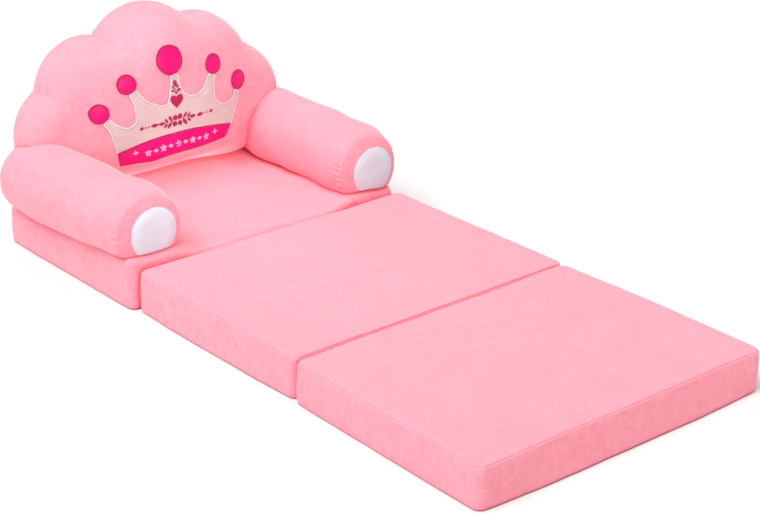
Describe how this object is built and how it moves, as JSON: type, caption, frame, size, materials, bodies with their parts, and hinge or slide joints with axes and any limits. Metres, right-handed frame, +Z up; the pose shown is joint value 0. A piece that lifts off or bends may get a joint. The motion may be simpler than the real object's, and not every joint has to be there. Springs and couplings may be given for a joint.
{
  "type": "convertible armchair",
  "caption": "Child's plush armchair with scalloped crown backrest and bolster arms; hinged foam slabs unfold into a low lounger",
  "frame": {"origin": "under the middle of the unfolded chair's bounding box, on the floor", "axes": "+X to the sitter's left, +Y from the fold-out end towards the backrest, +Z up"},
  "size_m": [0.566, 1.1358, 0.3487],
  "materials": {
    "plush": "short-pile polyester velour, light pink",
    "crown_satin": "cream satin, machine stitched edge",
    "magenta_satin": "magenta satin with a dark stitched edge",
    "embroidery": "dense satin-stitch thread",
    "white_fleece": "white short-pile velour",
    "foam": "open-cell upholstery foam, 20 kg/m3",
    "fibre": "polyester fibre stuffing",
    "non_slip_sheet": "dark non-woven sheet with fine grip dots",
    "zip_tape": "woven polyester tape with a nylon coil",
    "hinge_cloth": "doubled velour strip",
    "zip_metal": "nickel-plated slider"
  },
  "bodies": {
    "sofa_section": {"seat_cover": "plush", "seat_foam": "foam", "seat_sole": "non_slip_sheet", "seat_zip_tape_upper": "zip_tape", "seat_zip_tape_lower": "zip_tape", "rear_hinge_strip": "hinge_cloth", "right_arm_sleeve": "plush", "right_arm_front_panel": "plush", "right_arm_rear_panel": "plush", "right_arm_filling": "fibre", "right_arm_end_patch": "white_fleece", "left_arm_sleeve": "plush", "left_arm_front_panel": "plush", "left_arm_rear_panel": "plush", "left_arm_filling": "fibre", "left_arm_end_patch": "white_fleece", "backrest_front_panel": "plush", "backrest_rear_panel": "plush", "backrest_filling": "fibre", "crown_patch": "crown_satin", "crown_banner": "magenta_satin", "crown_gem_centre": "magenta_satin", "crown_gem_inner_right": "magenta_satin", "crown_gem_inner_left": "magenta_satin", "crown_gem_outer_right": "magenta_satin", "crown_gem_outer_left": "magenta_satin", "crown_heart": "embroidery", "crown_wreath": "embroidery", "crown_sprig": "embroidery"},
    "middle_section": {"middle_cover": "plush", "middle_foam": "foam", "middle_sole": "non_slip_sheet", "middle_zip_tape_upper": "zip_tape", "middle_zip_tape_lower": "zip_tape", "front_hinge_strip": "hinge_cloth"},
    "front_section": {"front_cover": "plush", "front_foam": "foam", "front_sole": "non_slip_sheet", "front_zip_tape_upper": "zip_tape", "front_zip_tape_lower": "zip_tape"},
    "seat_zip": {"seat_zip_slider": "zip_metal"},
    "middle_zip": {"middle_zip_slider": "zip_metal"},
    "front_zip": {"front_zip_slider": "zip_metal"}
  },
  "joints": [
    {"name": "rear_fold", "type": "hinge", "parent": "sofa_section", "child": "middle_section", "pos_m": [0, 0.19269, -0.0002], "axis": [1, 0, 0], "range_deg": [0, 180], "deforming": ["rear_hinge_strip"]},
    {"name": "front_fold", "type": "hinge", "parent": "middle_section", "child": "front_section", "pos_m": [0, -0.18831, 0.0647], "axis": [-1, 0, 0], "range_deg": [0, 180], "deforming": ["front_hinge_strip"]},
    {"name": "seat_zip_slide", "type": "slide", "parent": "sofa_section", "child": "seat_zip", "axis": [1, 0, 0], "range_m": [0, 0.385]},
    {"name": "middle_zip_slide", "type": "slide", "parent": "middle_section", "child": "middle_zip", "axis": [0, -1, 0], "range_m": [0, 0.265]},
    {"name": "front_zip_slide", "type": "slide", "parent": "front_section", "child": "front_zip", "axis": [-1, 0, 0], "range_m": [0, 0.385]}
  ]
}
